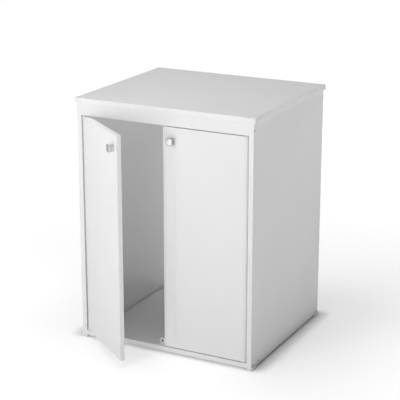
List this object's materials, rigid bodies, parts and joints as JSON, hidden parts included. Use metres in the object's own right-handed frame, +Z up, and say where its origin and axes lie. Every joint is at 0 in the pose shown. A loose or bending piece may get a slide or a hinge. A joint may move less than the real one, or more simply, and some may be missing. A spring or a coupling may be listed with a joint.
{
  "type": "washing machine cabinet",
  "caption": "White two-door cabinet that stands over a washing machine, with one door open.",
  "frame": {"origin": "centre of the base of the whole bounding box, on the floor, with the left door open as drawn", "axes": "+Z up, -Y out of the doors, +X to the right seen from the front"},
  "size_m": [0.723, 0.821, 0.93],
  "materials": {
    "white_board": "white melamine-faced chipboard, satin",
    "white_edging": "white plastic profile, semi-gloss",
    "white_plastic": "moulded white plastic, satin",
    "knob_chrome": "satin chrome",
    "bright_steel": "bright steel",
    "zinc_steel": "zinc-plated steel",
    "magnet_black": "black ferrite",
    "dowel_wood": "beech, fluted dowel"
  },
  "bodies": {
    "cabinet": {"bottom_ledge": "white_board", "bottom_ledge_front_strip": "white_edging", "catch_body": "white_plastic", "catch_magnets": "magnet_black", "catch_screws": "bright_steel", "foot_screws": "zinc_steel", "front_left_foot": "white_plastic", "front_right_foot": "white_plastic", "left_lower_bush": "white_plastic", "left_side_front_strip": "white_edging", "left_side_panel": "white_board", "left_upper_bush": "white_plastic", "rail_dowels": "dowel_wood", "rear_left_foot": "white_plastic", "rear_right_foot": "white_plastic", "right_lower_bush": "white_plastic", "right_side_front_strip": "white_edging", "right_side_panel": "white_board", "right_upper_bush": "white_plastic", "side_screws": "zinc_steel", "top_board": "white_board", "top_corner_caps": "white_plastic", "top_fixing_blocks": "white_plastic", "top_fixing_screws": "zinc_steel", "top_front_edging": "white_edging", "top_front_rail": "white_board", "top_left_edging": "white_edging", "top_rear_edging": "white_edging", "top_rear_rail": "white_board", "top_right_edging": "white_edging"},
    "left_door": {"left_door_panel": "white_board", "left_door_hinge_profile": "white_edging", "left_door_free_profile": "white_edging", "left_door_lower_pivot_block": "white_plastic", "left_door_upper_pivot_block": "white_plastic", "left_door_lower_pin": "bright_steel", "left_door_upper_pin": "bright_steel", "left_knob": "knob_chrome", "left_knob_screw": "bright_steel", "left_strike_plate": "zinc_steel", "left_strike_screw": "bright_steel"},
    "right_door": {"right_door_panel": "white_board", "right_door_hinge_profile": "white_edging", "right_door_free_profile": "white_edging", "right_door_lower_pivot_block": "white_plastic", "right_door_upper_pivot_block": "white_plastic", "right_door_lower_pin": "bright_steel", "right_door_upper_pin": "bright_steel", "right_knob": "knob_chrome", "right_knob_screw": "bright_steel", "right_strike_plate": "zinc_steel", "right_strike_screw": "bright_steel"}
  },
  "joints": [
    {"name": "left_door_hinge", "type": "hinge", "parent": "cabinet", "child": "left_door", "pos_m": [-0.3235, -0.205, 0.45], "axis": [0, 0, -1], "range_deg": [-37.5, 62.5]},
    {"name": "right_door_hinge", "type": "hinge", "parent": "cabinet", "child": "right_door", "pos_m": [0.3235, -0.205, 0.45], "axis": [0, 0, 1], "range_deg": [0, 100]}
  ]
}
